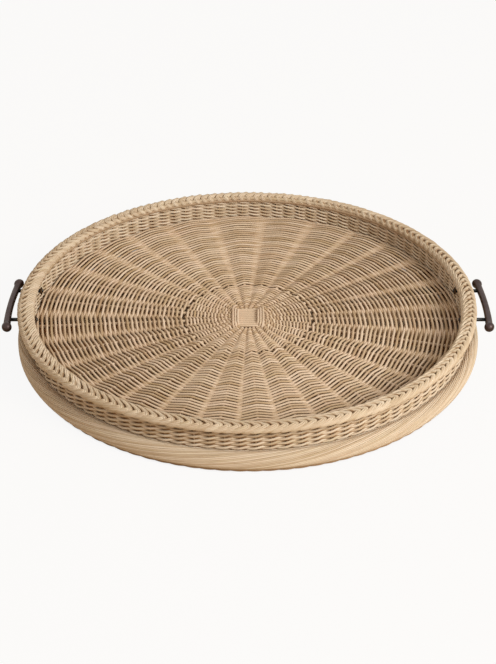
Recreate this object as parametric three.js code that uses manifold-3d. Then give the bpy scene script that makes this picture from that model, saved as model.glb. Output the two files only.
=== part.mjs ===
// Round rattan serving tray with two dark iron pulls, in millimetres, +Z up.
// The origin lies on the ground under the middle of the tray, and the pulls stand at +X and -X.
// Woven pieces are solids of their outer shape, with the sticks and posts that run through them.

import * as THREE from 'three';
import { mergeVertices } from 'three/addons/utils/BufferGeometryUtils.js';
import ManifoldModule from 'manifold-3d';

// Fits
const CLEARANCE = 0.3; // air between two pieces that touch on the real tray

// Canes
const WEAVER_DIAMETER = 3; // round core that the floor is woven with
const STICK_DIAMETER = 4; // sticks that the floor is woven on

// Foot: a fat rolled border that stands on one woven edge row
const ROLL_DIAMETER = 635; // across the widest line of the foot roll
const ROLL_WIDTH = 23.5;
const ROLL_HEIGHT = 25;
const ROLL_OUTER_CORNER = 9; // how far the rounding takes off the outer top and bottom
const ROLL_INNER_CORNER = 4;
const EDGE_WIDTH = 9;
const EDGE_HEIGHT = 3.2;
const EDGE_INSET = 4.8; // from the roll's widest line in to the edge row's outer side

// Wall and rim
const WALL_INSET = 13.2; // from the roll's widest line in to the wall's outer side
const WALL_THICKNESS = 10.6;
const WALL_HEIGHT = 31.3;
const RIM_OVERHANG = 9.7; // how far the plaited rim stands out past the wall
const RIM_WIDTH = 21.6;
const RIM_HEIGHT = 8.8;
const RIM_ROUNDING = 5.2; // width of the rounding at each side of the plait
const RIM_SIDE = 2.4; // upright part of the plait's sides

// Floor
const FLOOR_DROP = 1.5; // from the foot roll's top down to the floor's underside
const SEAM_RADIUS = 88.5; // where the close centre weave meets the wider weave
const RIDGE_WIDTH = 4; // flat crest of the weave over each stick
const RIDGE_START = 30; // how far out the crests begin, with valleys of one weaver between them
const STICK_PITCH = 4.9; // between neighbours where they lie side by side
const FAN_RADIUS = 48; // where the sticks have fanned out and lie in one layer
const FAN_TENSION = 0.4; // how far the bend keeps each end's direction, as a share of the bend
// Where the hand-laid stick ends point, in degrees from +X, once round from the front one on the right
const RIGHT_DIRECTIONS = [-52.9, -40.8, -28.3, -14.7, -0.3, 14, 27.2, 39.8];
const BACK_DIRECTIONS = [51.4, 63.5, 78.1, 93.4, 108, 121.4];
const LEFT_DIRECTIONS = [133.1, 145.1, 157.7, 170.4, 184.1, 199.1, 212.7, 224.4];
const FRONT_DIRECTIONS = [236.7, 249.6, 261.6, 272.8, 284.2, 295.6];

// Pulls
const POST_SPACING = 76.2;
const POST_DIAMETER = 5;
const POST_SEAT = 3; // how deep a post sits in the bar
const PULL_DROP = 5.8; // from the wall's top down to the axis of the posts
const PULL_REACH = 19.6; // from the wall's outer side to the middle of the bar's ends
const BAR_LENGTH = 128; // over both knobs
const BAR_WAIST_DIAMETER = 9;
const BAR_NECK_DIAMETER = 10.2;
const BAR_BOW = 3; // how far the bar's middle stands out past its ends
const KNOB_DIAMETER = 13.6;
const NUT_WIDTH = 9; // across the flats
const NUT_THICKNESS = 4;

// Facets
const RING_SEGMENTS = 84;
const ROD_SIDES = 12;
const STICK_SIDES = 6;
const BAR_SIDES = 16;
const BAR_STEPS = 8;
const KNOB_STEPS = 4;
const NUT_SIDES = 6;
const CORNER_STEPS = 2;
const FAN_STEPS = 4;

// Places that follow from the sizes
const rollOuter = ROLL_DIAMETER / 2;
const rollInner = rollOuter - ROLL_WIDTH;
const rollBottom = EDGE_HEIGHT + CLEARANCE;
const rollTop = rollBottom + ROLL_HEIGHT;
const edgeOuter = rollOuter - EDGE_INSET;
const wallOuter = rollOuter - WALL_INSET;
const wallInner = wallOuter - WALL_THICKNESS;
const wallBottom = rollTop + CLEARANCE;
const wallTop = wallBottom + WALL_HEIGHT;
const rimOuter = wallOuter + RIM_OVERHANG;
const rimInner = rimOuter - RIM_WIDTH;
const rimBottom = wallTop + CLEARANCE;
const floorRadius = wallInner - CLEARANCE;
const floorThickness = STICK_DIAMETER + 2 * WEAVER_DIAMETER;
const floorUnderside = rollTop - FLOOR_DROP;
const floorMiddle = floorUnderside + floorThickness / 2;
const stickDirections = [
  ...RIGHT_DIRECTIONS, ...BACK_DIRECTIONS, ...LEFT_DIRECTIONS, ...FRONT_DIRECTIONS,
].map((degrees) => THREE.MathUtils.degToRad(degrees));
const crossLayer = (STICK_DIAMETER + CLEARANCE) / 2;
const leftRightSticks = RIGHT_DIRECTIONS.length; // on top at the cross
const frontBackSticks = FRONT_DIRECTIONS.length; // below them at the cross
const crossHalfX = frontBackSticks * STICK_PITCH / 2;
const crossHalfY = leftRightSticks * STICK_PITCH / 2;
const flatness = Math.cos(Math.PI / RING_SEGMENTS); // a ring's flats lie this much nearer the middle
const knobOffset = (BAR_LENGTH - KNOB_DIAMETER) / 2;
const pullHeight = wallTop - PULL_DROP;
const barEndX = wallOuter + PULL_REACH;
const nutRadius = NUT_WIDTH / 2 / Math.cos(Math.PI / NUT_SIDES);
const wallFlatAtNut = Math.sqrt((wallInner * flatness) ** 2 - (POST_SPACING / 2 + nutRadius) ** 2);
const nutSeatX = wallFlatAtNut - CLEARANCE;
const nutInnerX = nutSeatX - NUT_THICKNESS;
const postHoleRadius = POST_DIAMETER / 2 + CLEARANCE;

// Finishes
const rattan = new THREE.MeshStandardMaterial({ color: 0xd8be98, roughness: 0.7, metalness: 0 });
const plaitedRattan = new THREE.MeshStandardMaterial({ color: 0xdfc9a3, roughness: 0.65, metalness: 0 });
const stickRattan = new THREE.MeshStandardMaterial({ color: 0xcdb086, roughness: 0.7, metalness: 0 });
const darkIron = new THREE.MeshStandardMaterial({ color: 0x4d3e3b, roughness: 0.5, metalness: 0.8 });
const blackSteel = new THREE.MeshStandardMaterial({ color: 0x2d2d2b, roughness: 0.4, metalness: 0.9 });
const bronzedSteel = new THREE.MeshStandardMaterial({ color: 0x4a3214, roughness: 0.5, metalness: 0.8 });

const wasm = await ManifoldModule();
wasm.setup();

const tray = new THREE.Group();

// Solids

function toManifold(geometry) {
  const bare = geometry.clone();
  bare.deleteAttribute('normal');
  bare.deleteAttribute('uv');
  const merged = mergeVertices(bare);
  return new wasm.Manifold(new wasm.Mesh({
    numProp: 3,
    vertProperties: new Float32Array(merged.attributes.position.array),
    triVerts: new Uint32Array(merged.index.array),
  }));
}

function toGeometry(manifold) {
  const mesh = manifold.getMesh();
  const geometry = new THREE.BufferGeometry();
  geometry.setAttribute('position', new THREE.BufferAttribute(mesh.vertProperties, 3));
  geometry.setIndex(new THREE.BufferAttribute(mesh.triVerts, 1));
  return geometry;
}

function join(first, second) {
  return toGeometry(toManifold(first).add(toManifold(second)));
}

function cut(geometry, tools) {
  let solid = toManifold(geometry);
  for (const tool of tools) solid = solid.subtract(toManifold(tool));
  return toGeometry(solid);
}

function add(parent, name, geometry, material) {
  const mesh = new THREE.Mesh(geometry, material);
  mesh.name = name;
  parent.add(mesh);
  return mesh;
}

// A ring about the Z axis, from a closed profile of [radius, height] that runs up its outer side.
function ring(profile) {
  const points = profile.map(([radius, height]) => new THREE.Vector2(radius, height));
  points.push(points[0].clone());
  return new THREE.LatheGeometry(points, RING_SEGMENTS).rotateX(Math.PI / 2);
}

function flatRing(inner, outer, bottom, top) {
  return ring([[outer, bottom], [outer, top], [inner, top], [inner, bottom]]);
}

// The points of a rounded corner, a quarter ellipse about a centre.
function corner(centreRadius, centreHeight, halfWidth, halfHeight, startTurn) {
  const points = [];
  for (let step = 0; step <= CORNER_STEPS; step += 1) {
    const angle = (startTurn + step / CORNER_STEPS) * Math.PI / 2;
    points.push([centreRadius + halfWidth * Math.cos(angle), centreHeight + halfHeight * Math.sin(angle)]);
  }
  return points;
}

// A closed ring through loops of points that each run once round. The last loop joins the first.
function ringThroughLoops(loops) {
  const count = loops[0].length;
  const index = [];
  for (let loop = 0; loop < loops.length; loop += 1) {
    const start = loop * count;
    const nextStart = ((loop + 1) % loops.length) * count;
    for (let place = 0; place < count; place += 1) {
      const next = (place + 1) % count;
      index.push(start + place, start + next, nextStart + next);
      index.push(start + place, nextStart + next, nextStart + place);
    }
  }
  const geometry = new THREE.BufferGeometry().setFromPoints(loops.flat());
  geometry.setIndex(index);
  return geometry;
}

// A rod along the X axis with its ends at two places.
function rodAlongX(startX, endX, y, z, radius) {
  const rod = new THREE.CylinderGeometry(radius, radius, endX - startX, ROD_SIDES);
  return rod.rotateZ(Math.PI / 2).translate((startX + endX) / 2, y, z);
}

// A path through points, with one ring of the tube at each point.
class PointPath extends THREE.Curve {
  constructor(points) {
    super();
    this.points = points;
  }

  getPointAt(fraction) {
    return this.points[Math.round(fraction * (this.points.length - 1))].clone();
  }

  getTangentAt(fraction) {
    const last = this.points.length - 1;
    const index = Math.round(fraction * last);
    const before = this.points[Math.max(index - 1, 0)];
    const after = this.points[Math.min(index + 1, last)];
    return after.clone().sub(before).normalize();
  }
}

function tube(points, radius) {
  const section = new THREE.Shape();
  for (let side = 0; side < STICK_SIDES; side += 1) {
    const angle = 2 * Math.PI * side / STICK_SIDES;
    const x = radius * Math.cos(angle);
    const y = radius * Math.sin(angle);
    if (side === 0) section.moveTo(x, y);
    else section.lineTo(x, y);
  }
  const path = new PointPath(points);
  return new THREE.ExtrudeGeometry(section, { steps: points.length - 1, extrudePath: path });
}

// Floor sticks

// Points from the cross out to the end of one stick: a bend into the fan, then straight out.
function fanPoints(start, direction, angle, endRadius) {
  const outward = new THREE.Vector3(Math.cos(angle), Math.sin(angle), 0);
  const fan = outward.clone().multiplyScalar(FAN_RADIUS).setZ(floorMiddle);
  const tension = start.distanceTo(fan) * FAN_TENSION;
  const bend = new THREE.CubicBezierCurve3(
    start,
    start.clone().addScaledVector(direction, tension),
    fan.clone().addScaledVector(outward, -tension),
    fan,
  );
  const points = bend.getPoints(FAN_STEPS);
  points.push(outward.clone().multiplyScalar(endRadius).setZ(floorMiddle));
  return points;
}

// A whole stick: out from the cross at both ends. Its first end lies along -direction.
function stickPoints(middle, direction, halfCross, firstDegrees, lastDegrees, endRadius) {
  const firstAngle = THREE.MathUtils.degToRad(firstDegrees);
  const lastAngle = THREE.MathUtils.degToRad(lastDegrees);
  const firstStart = middle.clone().addScaledVector(direction, -halfCross);
  const lastStart = middle.clone().addScaledVector(direction, halfCross);
  const first = fanPoints(firstStart, direction.clone().negate(), firstAngle, endRadius);
  const last = fanPoints(lastStart, direction, lastAngle, endRadius);
  return [...first.reverse(), ...last];
}

// All sticks, each as a name and a function that gives its points out to a radius.
function layOutSticks() {
  const sticks = [];
  const alongX = new THREE.Vector3(1, 0, 0);
  const alongY = new THREE.Vector3(0, 1, 0);
  for (let index = 0; index < leftRightSticks; index += 1) {
    const y = (index - (leftRightSticks - 1) / 2) * STICK_PITCH;
    const middle = new THREE.Vector3(0, y, floorMiddle + crossLayer);
    const left = LEFT_DIRECTIONS[leftRightSticks - 1 - index];
    const right = RIGHT_DIRECTIONS[index];
    sticks.push({
      name: `floor_stick_x_${index + 1}`,
      points: (endRadius) => stickPoints(middle, alongX, crossHalfX, left, right, endRadius),
    });
  }
  for (let index = 0; index < frontBackSticks; index += 1) {
    const x = (index - (frontBackSticks - 1) / 2) * STICK_PITCH;
    const middle = new THREE.Vector3(x, 0, floorMiddle - crossLayer);
    const front = FRONT_DIRECTIONS[index];
    const back = BACK_DIRECTIONS[frontBackSticks - 1 - index];
    sticks.push({
      name: `floor_stick_y_${index + 1}`,
      points: (endRadius) => stickPoints(middle, alongY, crossHalfY, front, back, endRadius),
    });
  }
  return sticks;
}

// One loop of the floor's top (side 1) or underside (side -1): a flat crest over each stick and a
// valley halfway to the next, where the floor is one weaver thick.
function ridgedLoop(radius, side, slopeSteps) {
  const crestHalf = floorThickness / 2;
  const depthShare = THREE.MathUtils.smoothstep(radius, RIDGE_START, FAN_RADIUS);
  const valleyHalf = THREE.MathUtils.lerp(crestHalf, WEAVER_DIAMETER / 2, depthShare);
  const crestTurn = RIDGE_WIDTH / 2 / radius;
  const points = [];
  const addPoint = (turn, half) => {
    const x = radius * Math.cos(turn);
    const y = radius * Math.sin(turn);
    points.push(new THREE.Vector3(x, y, floorMiddle + side * half));
  };
  const addSlope = (startTurn, endTurn, startHalf, endHalf) => {
    for (let step = 0; step < slopeSteps; step += 1) {
      const share = step / slopeSteps;
      const turn = THREE.MathUtils.lerp(startTurn, endTurn, share);
      addPoint(turn, THREE.MathUtils.lerp(startHalf, endHalf, share));
    }
  };
  stickDirections.forEach((direction, index) => {
    const last = index === stickDirections.length - 1;
    const next = last ? stickDirections[0] + 2 * Math.PI : stickDirections[index + 1];
    const valley = (direction + next) / 2;
    addPoint(direction - crestTurn, crestHalf);
    addSlope(direction + crestTurn, valley, crestHalf, valleyHalf);
    addSlope(valley, next - crestTurn, valleyHalf, crestHalf);
  });
  return points;
}

// A ring of ridged weave through radii that run from its outer side in.
function ridgedRing(radii, slopeSteps) {
  const top = radii.map((radius) => ridgedLoop(radius, 1, slopeSteps));
  const underside = radii.map((radius) => ridgedLoop(radius, -1, slopeSteps)).reverse();
  return ringThroughLoops([...top, ...underside]);
}

function addFloor() {
  const sticks = layOutSticks();
  const overrun = 2 * STICK_DIAMETER;
  const channelRadius = STICK_DIAMETER / 2 + CLEARANCE;
  const channels = sticks.map((stick) => tube(stick.points(floorRadius + overrun), channelRadius));
  for (const stick of sticks) {
    add(tray, stick.name, tube(stick.points(floorRadius), STICK_DIAMETER / 2), stickRattan);
  }

  const halfSeam = CLEARANCE / 2;
  const wide = ridgedRing([floorRadius * flatness, SEAM_RADIUS + halfSeam], 2);
  add(tray, 'floor_wide_weave', cut(wide, channels), rattan);

  const crossReach = Math.hypot(crossHalfX, crossHalfY);
  const middleRadius = (crossReach + RIDGE_START) / 2;
  const plainMiddle = new THREE.CylinderGeometry(middleRadius, middleRadius, floorThickness, RING_SEGMENTS)
    .rotateX(Math.PI / 2).translate(0, 0, floorMiddle);
  const closeRing = ridgedRing([SEAM_RADIUS - halfSeam, FAN_RADIUS, RIDGE_START, crossReach], 1);
  const close = join(closeRing, plainMiddle);
  const crossWindow = new THREE.BoxGeometry(2 * crossHalfX, 2 * crossHalfY, 2 * floorThickness)
    .translate(0, 0, floorMiddle);
  add(tray, 'floor_centre_weave', cut(close, [crossWindow, ...channels]), rattan);
}

// Foot, wall and rim

function addFoot() {
  const outerCentre = rollOuter - ROLL_OUTER_CORNER;
  const innerCentre = rollInner + ROLL_INNER_CORNER;
  const outer = ROLL_OUTER_CORNER;
  const inner = ROLL_INNER_CORNER;
  const roll = ring([
    ...corner(outerCentre, rollBottom + outer, outer, outer, 3),
    ...corner(outerCentre, rollTop - outer, outer, outer, 0),
    ...corner(innerCentre, rollTop - inner, inner, inner, 1),
    ...corner(innerCentre, rollBottom + inner, inner, inner, 2),
  ]);
  add(tray, 'foot_roll', roll, rattan);
  add(tray, 'foot_edge_row', flatRing(edgeOuter - EDGE_WIDTH, edgeOuter, 0, EDGE_HEIGHT), rattan);
}

function addWall() {
  const postHoles = [];
  for (const side of [-1, 1]) {
    for (const y of [-POST_SPACING / 2, POST_SPACING / 2]) {
      const ends = [side * nutSeatX, side * barEndX].sort((a, b) => a - b);
      postHoles.push(rodAlongX(ends[0], ends[1], y, pullHeight, postHoleRadius));
    }
  }
  const wall = flatRing(wallInner, wallOuter, wallBottom, wallTop);
  add(tray, 'wall_weave', cut(wall, postHoles), rattan);
}

function addRim() {
  const sideBottom = rimBottom + (RIM_HEIGHT - RIM_SIDE) / 2;
  const sideTop = sideBottom + RIM_SIDE;
  const rounding = sideBottom - rimBottom;
  const outerCentre = rimOuter - RIM_ROUNDING;
  const innerCentre = rimInner + RIM_ROUNDING;
  const plait = ring([
    ...corner(outerCentre, sideBottom, RIM_ROUNDING, rounding, 3),
    ...corner(outerCentre, sideTop, RIM_ROUNDING, rounding, 0),
    ...corner(innerCentre, sideTop, RIM_ROUNDING, rounding, 1),
    ...corner(innerCentre, sideBottom, RIM_ROUNDING, rounding, 2),
  ]);
  add(tray, 'rim_plait', plait, plaitedRattan);
}

// Pulls

// Where the bar's middle line lies at a place along it: bowed out between its two knobs.
function barMiddleX(y) {
  return barEndX + BAR_BOW * (1 - (y / knobOffset) ** 2);
}

// The bar's radius at a place along it, up to where the knobs begin.
function barRadius(y) {
  const share = Math.abs(y) / knobOffset;
  return THREE.MathUtils.lerp(BAR_WAIST_DIAMETER, BAR_NECK_DIAMETER, share ** 2) / 2;
}

// Where a post ends inside the bar.
function postEndX(y) {
  return barMiddleX(y) - barRadius(y) + POST_SEAT;
}

// One knob's outline as [radius, place along the bar], from its tip to where it meets the bar.
function knobProfile(side) {
  const knobRadius = KNOB_DIAMETER / 2;
  const neckTurn = Math.PI - Math.asin(BAR_NECK_DIAMETER / KNOB_DIAMETER);
  const points = [];
  for (let step = 0; step <= KNOB_STEPS; step += 1) {
    const turn = neckTurn * step / KNOB_STEPS;
    points.push([knobRadius * Math.sin(turn), side * (knobOffset + knobRadius * Math.cos(turn))]);
  }
  return points;
}

function barGeometry() {
  const knob = knobProfile(-1);
  const neckY = knob[KNOB_STEPS][1];
  const waist = [];
  for (let step = 1; step < BAR_STEPS; step += 1) {
    const y = THREE.MathUtils.lerp(neckY, -neckY, step / BAR_STEPS);
    waist.push([barRadius(y), y]);
  }
  const profile = [...knob, ...waist, ...knobProfile(1).reverse()];
  const outline = profile.map(([radius, y]) => new THREE.Vector2(radius, y));
  const bar = new THREE.LatheGeometry(outline, BAR_SIDES);
  const position = bar.attributes.position;
  for (let index = 0; index < position.count; index += 1) {
    position.setX(index, position.getX(index) + barMiddleX(position.getY(index)));
    position.setZ(index, position.getZ(index) + pullHeight);
  }
  return bar;
}

function addPull(side, turn) {
  const pull = new THREE.Group();
  pull.rotation.z = turn;
  tray.add(pull);

  const frontY = -Math.cos(turn) * POST_SPACING / 2;
  const places = [['front', frontY], ['back', -frontY]];
  const sockets = places.map(([, y]) => (
    rodAlongX(wallOuter, postEndX(y) + CLEARANCE, y, pullHeight, postHoleRadius)
  ));
  add(pull, `pull_bar_${side}`, cut(barGeometry(), sockets), darkIron);

  for (const [place, y] of places) {
    const post = rodAlongX(nutInnerX, postEndX(y), y, pullHeight, POST_DIAMETER / 2);
    add(pull, `pull_post_${side}_${place}`, post, blackSteel);

    const nut = new THREE.CylinderGeometry(nutRadius, nutRadius, NUT_THICKNESS, NUT_SIDES)
      .rotateZ(Math.PI / 2).translate((nutSeatX + nutInnerX) / 2, y, pullHeight);
    const bore = rodAlongX(nutInnerX - CLEARANCE, nutSeatX + CLEARANCE, y, pullHeight, postHoleRadius);
    add(pull, `pull_nut_${side}_${place}`, cut(nut, [bore]), bronzedSteel);
  }
}

addFoot();
addFloor();
addWall();
addRim();
addPull('right', 0);
addPull('left', Math.PI);

export default tray;
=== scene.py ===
import math

import bmesh
import bpy
import numpy as np
from bpy.props import FloatProperty, FloatVectorProperty, IntProperty, PointerProperty
from mathutils import Matrix, Vector, noise
from mathutils.geometry import interpolate_bezier


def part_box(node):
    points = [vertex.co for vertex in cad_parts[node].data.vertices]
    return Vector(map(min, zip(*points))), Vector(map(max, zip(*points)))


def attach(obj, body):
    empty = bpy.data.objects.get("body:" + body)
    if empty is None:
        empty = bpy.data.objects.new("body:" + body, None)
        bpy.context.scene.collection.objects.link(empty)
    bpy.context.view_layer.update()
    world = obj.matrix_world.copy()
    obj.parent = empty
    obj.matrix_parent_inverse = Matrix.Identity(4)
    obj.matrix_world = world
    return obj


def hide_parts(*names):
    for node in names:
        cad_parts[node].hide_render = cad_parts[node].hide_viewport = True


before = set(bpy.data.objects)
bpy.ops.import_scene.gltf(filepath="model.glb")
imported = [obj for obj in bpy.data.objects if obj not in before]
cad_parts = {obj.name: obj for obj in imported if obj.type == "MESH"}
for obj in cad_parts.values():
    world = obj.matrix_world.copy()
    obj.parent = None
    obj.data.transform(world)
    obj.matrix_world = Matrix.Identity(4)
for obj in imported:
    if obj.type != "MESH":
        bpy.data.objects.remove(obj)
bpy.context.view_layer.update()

bl_info = {
    "name": "Rattan Serving Tray",
    "version": (1, 0, 0),
    "blender": (4, 5, 0),
    "location": "3D View > Sidebar > Tray",
    "description": "A round rattan tray with a plaited rim and iron pulls, and a plain studio",
    "category": "Object",
}

# Places taken from the frame, in metres. The tray stands on z = 0 with its pulls at +X and -X.
ROLL_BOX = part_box("foot_roll")
EDGE_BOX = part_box("foot_edge_row")
WALL_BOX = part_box("wall_weave")
RIM_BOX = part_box("rim_plait")
FLOOR_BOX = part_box("floor_wide_weave")
CENTRE_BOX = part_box("floor_centre_weave")
BAR_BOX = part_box("pull_bar_right")
POST_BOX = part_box("pull_post_right_back")
NUT_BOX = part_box("pull_nut_right_back")

ROLL_OUTER = ROLL_BOX[1][0]
WALL_OUTER = WALL_BOX[1][0]
RIM_OUTER = RIM_BOX[1][0]
FLOOR_OUTER = FLOOR_BOX[1][0]
SEAM_RADIUS = CENTRE_BOX[1][0]
FLOOR_MIDDLE = (FLOOR_BOX[0][2] + FLOOR_BOX[1][2]) / 2

# The sticks of the floor: two crossed groups that fan out into one ring of spokes.
STICKS_X = 8
STICKS_Y = 6
SPOKES = 2 * (STICKS_X + STICKS_Y)
STICK_PITCH = 0.0049
CROSS_LAYER = 0.00215
FAN_RADIUS = 0.048
FAN_TENSION = 0.4
FAN_STEPS = 12
# Where the hand-laid stick ends point, in degrees from +X, once round from the front one on the right.
STICK_DIRECTIONS = (
    -52.9, -40.8, -28.3, -14.7, -0.3, 14, 27.2, 39.8,
    51.4, 63.5, 78.1, 93.4, 108, 121.4,
    133.1, 145.1, 157.7, 170.4, 184.1, 199.1, 212.7, 224.4,
    236.7, 249.6, 261.6, 272.8, 284.2, 295.6)


# Settings

class TrayWeaveSizes(bpy.types.PropertyGroup):
    """Sizes of the canes and counts of their rows."""

    weaver: FloatProperty(
        name="Weaver thickness", description="Width of the floor's canes", default=0.0036, unit="LENGTH")
    centre_weaver: FloatProperty(
        name="Centre weaver thickness", description="Thickness of the middle's canes",
        default=0.0032, unit="LENGTH")
    stick: FloatProperty(
        name="Stick thickness", description="Floor sticks", default=0.0045, unit="LENGTH")
    wide_rows: IntProperty(
        name="Wide rows", description="Rows woven outside the seam", default=33)
    centre_rows: IntProperty(
        name="Centre rows", description="Rows woven inside the seam", default=13)
    unevenness: FloatProperty(
        name="Unevenness", description="How far a row strays from its circle",
        default=0.0006, unit="LENGTH")
    outer_uprights: IntProperty(
        name="Outer uprights", description="Uprights in the wall's outer skin", default=98)
    inner_uprights: IntProperty(
        name="Inner uprights", description="Uprights in the wall's inner skin", default=106)
    wall_weaver: FloatProperty(
        name="Wall weaver thickness", description="Width of the canes in the wall",
        default=0.0036, unit="LENGTH")
    plait_units: IntProperty(
        name="Plait units", description="Bundles in the plaited rim", default=164)
    plait_cane: FloatProperty(
        name="Plait cane thickness", description="Canes of the plait", default=0.0027, unit="LENGTH")
    roll_canes: IntProperty(
        name="Roll canes", description="Canes side by side on the foot roll", default=36)
    roll_cane: FloatProperty(
        name="Roll cane thickness", description="Canes of the foot roll", default=0.0024, unit="LENGTH")


class TrayColours(bpy.types.PropertyGroup):
    """Colours of the finishes, in linear values."""

    cane_pale: FloatVectorProperty(
        name="Pale cane", description="The lightest weaving cane", subtype="COLOR",
        default=(0.80, 0.613, 0.447))
    cane_dark: FloatVectorProperty(
        name="Dark cane", description="The darkest weaving cane", subtype="COLOR",
        default=(0.52, 0.354, 0.203))
    plait_pale: FloatVectorProperty(
        name="Pale plait", description="The lightest cane of the rim", subtype="COLOR",
        default=(0.79, 0.645, 0.485))
    plait_dark: FloatVectorProperty(
        name="Dark plait", description="The darkest cane of the rim", subtype="COLOR",
        default=(0.58, 0.43, 0.28))
    iron: FloatVectorProperty(
        name="Iron", description="The pulls' bars", subtype="COLOR", default=(0.078, 0.052, 0.047))
    black_steel: FloatVectorProperty(
        name="Black steel", description="The pulls' posts", subtype="COLOR", default=(0.03, 0.03, 0.028))
    bronzed_steel: FloatVectorProperty(
        name="Bronzed steel", description="The nuts inside the wall", subtype="COLOR",
        default=(0.07, 0.035, 0.012))


class TrayStudio(bpy.types.PropertyGroup):
    """Camera and light."""

    camera_distance: FloatProperty(
        name="Camera distance", description="Camera to the tray's middle, level",
        default=2.0451, unit="LENGTH")
    camera_height: FloatProperty(
        name="Camera height", description="Camera above the ground", default=1.2966, unit="LENGTH")
    camera_tilt: FloatProperty(
        name="Camera tilt", description="Turn of the camera up from straight down",
        default=math.radians(57.832), subtype="ANGLE")
    lens: FloatProperty(
        name="Lens", description="Focal length in millimetres", default=94.1)
    ambient: FloatProperty(
        name="Ambient light", description="Strength of the light from all sides", default=0.57)
    key: FloatProperty(
        name="Key light", description="Power of the broad light", default=138)
    key_distance: FloatProperty(
        name="Key distance", description="Key to the tray's middle", default=4.0, unit="LENGTH")
    key_size: FloatProperty(
        name="Key size", description="Width of the key's round shade", default=1.9, unit="LENGTH")
    key_azimuth: FloatProperty(
        name="Key azimuth", description="Direction of the key, round from +X",
        default=math.radians(-41), subtype="ANGLE")
    key_elevation: FloatProperty(
        name="Key elevation", description="Height of the key above the horizon",
        default=math.radians(33), subtype="ANGLE")


# Laying canes

def polar(radius, angle, height):
    return (radius * math.cos(angle), radius * math.sin(angle), height)


def drift(seed, place, size=1.0):
    """A smooth value between -1 and 1 that wanders with a place and differs for each seed."""
    return noise.noise((place * size, seed * 7.31 + 0.5, seed * 1.93))


def drift_round(seed, angle, waves):
    """A smooth value between -1 and 1 that wanders once round the tray and closes on itself."""
    return noise.noise(polar(waves, angle, seed * 5.17 + 0.3))


# Painted shade: how much darker woven canes are on their inward sides, and how far their flanks count as
# shaded.
RECESS_SHADE = 0.95
FLANK_SHARE = 0.35
# How thick an oval cane is for its width.
OVAL = 0.76
# Metres between the grain of one cane and of the next, so that no two look alike.
GRAIN_STEP = 3.7


def add_object(name, data):
    item = bpy.data.objects.new(name, data)
    bpy.context.scene.collection.objects.link(item)
    return item


def to_piece(name, shape):
    """A piece from a bmesh, which is used up."""
    mesh = bpy.data.meshes.new(name)
    shape.to_mesh(mesh)
    shape.free()
    return add_object(name, mesh)


def lengths_along(places):
    """How far along a line each of its points lies."""
    steps = np.linalg.norm(np.diff(places, axis=0), axis=1)
    return np.concatenate([[0], np.cumsum(steps)])


def cane_mesh(name, paths, thickness, closed, sides):
    """One mesh of round canes, with a ring of corners at each point of each path."""
    curve = bpy.data.curves.new(name, "CURVE")
    curve.dimensions = "3D"
    curve.bevel_depth = thickness / 2
    curve.bevel_resolution = sides // 2 - 2
    for path in paths:
        spline = curve.splines.new("POLY")
        spline.points.add(len(path) - 1)
        places = np.ones((len(path), 4), dtype=np.float32)
        places[:, :3] = path
        spline.points.foreach_set("co", places.ravel())
        spline.use_cyclic_u = closed
        spline.use_smooth = True
    holder = add_object(name, curve)
    mesh = bpy.data.meshes.new_from_object(holder)
    bpy.data.objects.remove(holder)
    bpy.data.curves.remove(curve)
    return mesh


def lay_canes(name, paths, thickness, tones, closed=False, sides=6, shade_facings=None, recess_shade=RECESS_SHADE,
              pressed=None):
    """One piece of round canes. Each cane carries its tone and its own lengthwise coordinates.

    The shade vectors give, at each point, how far the cane has come out to the open side. The side
    of a cane that turns into the weave gets painted shade: a tone darker by one number, or by one for
    each cane. Canes pressed "down" or "in" are ovals, thinner upward or away from the tray's middle.
    """
    mesh = cane_mesh(name, paths, thickness, closed, sides)
    corners = np.zeros(len(mesh.vertices) * 3, dtype=np.float32)
    mesh.vertices.foreach_get("co", corners)
    corners = corners.reshape(-1, sides, 3)
    tone = np.zeros_like(corners[:, :, 0])
    grain = np.zeros_like(corners)
    turn = 2 * np.pi * np.arange(sides) / sides
    grain[:, :, 1] = np.cos(turn) * thickness / 2
    grain[:, :, 2] = np.sin(turn) * thickness / 2
    recess_shades = np.broadcast_to(recess_shade, len(paths))
    start = 0
    for index, path in enumerate(paths):
        rings = slice(start, start + len(path))
        start += len(path)
        places = np.asarray(path)
        grain[rings, :, 0] = lengths_along(places)[:, None] + index * GRAIN_STEP
        tone[rings] = tones[index]
        aside = corners[rings] - places[:, None, :]
        # Painted shade: the side of a cane that turns into the weave gets a darker tone.
        if shade_facings is not None:
            turned = np.array(shade_facings[index])
            flank = FLANK_SHARE * np.linalg.norm(turned, axis=1)[:, None]
            shaded_share = flank - np.einsum("psk,pk->ps", aside / (thickness / 2), turned)
            tone[rings] -= recess_shades[index] * np.clip(shaded_share, 0, 1)
        if pressed == "down":
            aside[:, :, 2] *= OVAL
        elif pressed == "in":
            outward = places[:, :2] / np.linalg.norm(places[:, :2], axis=1)[:, None]
            depth = np.einsum("psk,pk->ps", aside[:, :, :2], outward)
            aside[:, :, :2] -= (1 - OVAL) * depth[:, :, None] * outward[:, None, :]
        corners[rings] = places[:, None, :] + aside
    mesh.vertices.foreach_set("co", corners.ravel())
    mesh.attributes.new("tone", "FLOAT", "POINT").data.foreach_set("value", tone.ravel())
    mesh.attributes.new("grain", "FLOAT_VECTOR", "POINT").data.foreach_set("vector", grain.ravel())
    if not closed:
        shape = bmesh.new()
        shape.from_mesh(mesh)
        bmesh.ops.holes_fill(shape, edges=shape.edges, sides=sides)
        shape.to_mesh(mesh)
        shape.free()
    return add_object(name, mesh)


def tone_list(seed, count, middle=0.55, spread=0.45):
    """One tone for each cane, the same at every run."""
    chooser = np.random.default_rng(seed)
    return np.clip(middle + spread * (chooser.random(count) * 2 - 1), 0, 1)


def finish_piece(piece, material, slot, *nodes):
    """Gives a piece its material and body, and lets it stand for its CAD nodes. The slot is not used."""
    piece.data.materials.clear()
    piece.data.materials.append(material)
    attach(piece, "root")
    if nodes:
        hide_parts(*nodes)


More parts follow.
